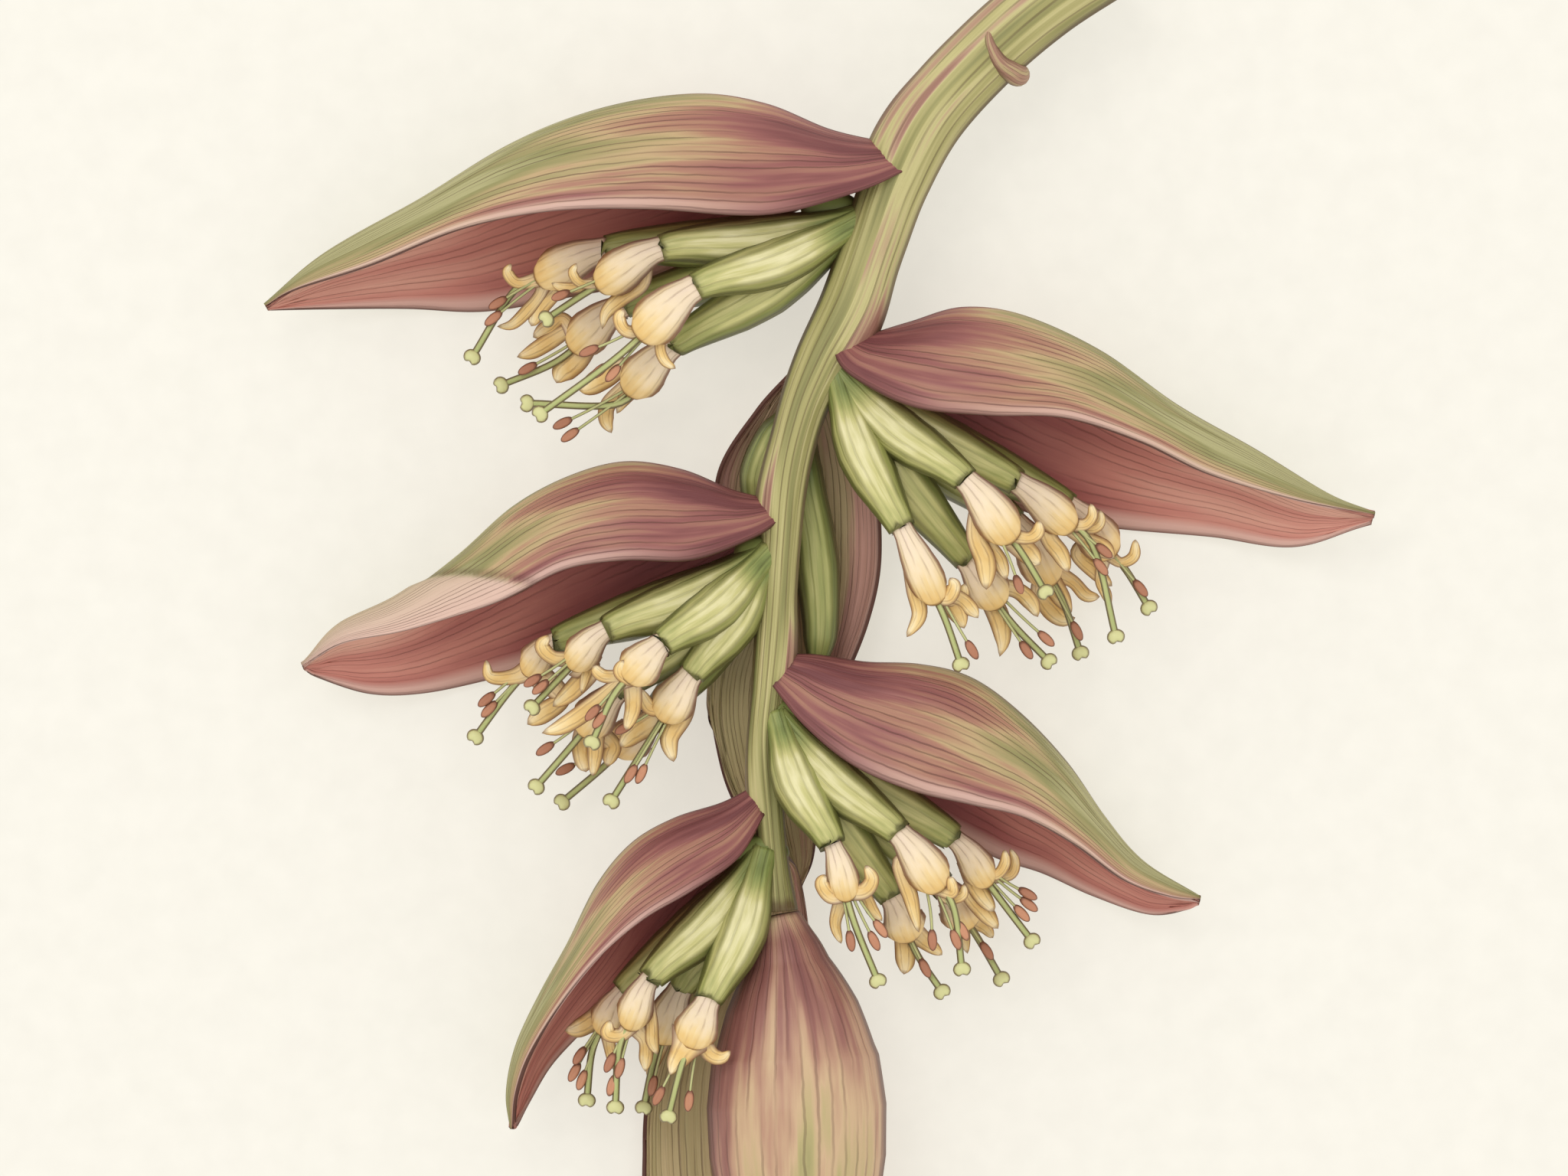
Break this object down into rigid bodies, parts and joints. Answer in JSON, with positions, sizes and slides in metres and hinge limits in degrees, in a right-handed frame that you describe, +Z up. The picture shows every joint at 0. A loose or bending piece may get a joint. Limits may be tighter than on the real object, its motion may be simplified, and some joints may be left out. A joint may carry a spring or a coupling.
{
  "type": "banana blossom",
  "caption": "Cut banana flower stalk lying down, with its closed bud, boat-shaped bracts lifted off the hands, and young fruit ending in open flowers.",
  "frame": {"origin": "middle of the bottom of the part's box, on the surface it lies on", "axes": "+Y along the stalk from the bud's tip towards the cut end, +Z up from the surface"},
  "size_m": [0.3638, 0.4804, 0.063],
  "materials": {
    "stalk": "satin",
    "bract": "satin",
    "bud": "satin",
    "finger": "satin",
    "flower": "satin"
  },
  "bodies": {
    "root": {"bract_back_1": "bract", "bract_back_2": "bract", "bract_back_3": "bract", "bract_left_1": "bract", "bract_left_2": "bract", "bract_left_3": "bract", "bract_right_1": "bract", "bract_right_2": "bract", "bud": "bud", "fingers_back_1": "finger", "fingers_left_1": "finger", "fingers_left_2": "finger", "fingers_left_3": "finger", "fingers_right_1": "finger", "fingers_right_2": "finger", "flower_left_1_a": "flower", "flower_left_1_b": "flower", "flower_left_1_c": "flower", "flower_left_1_d": "flower", "flower_left_1_e": "flower", "flower_left_2_a": "flower", "flower_left_2_b": "flower", "flower_left_2_c": "flower", "flower_left_2_d": "flower", "flower_left_2_e": "flower", "flower_left_2_f": "flower", "flower_left_3_a": "flower", "flower_left_3_b": "flower", "flower_left_3_c": "flower", "flower_left_3_d": "flower", "flower_right_1_a": "flower", "flower_right_1_b": "flower", "flower_right_1_c": "flower", "flower_right_1_d": "flower", "flower_right_1_e": "flower", "flower_right_1_f": "flower", "flower_right_2_a": "flower", "flower_right_2_b": "flower", "flower_right_2_c": "flower", "flower_right_2_d": "flower", "flower_right_2_e": "flower", "stalk": "stalk"}
  },
  "joints": []
}
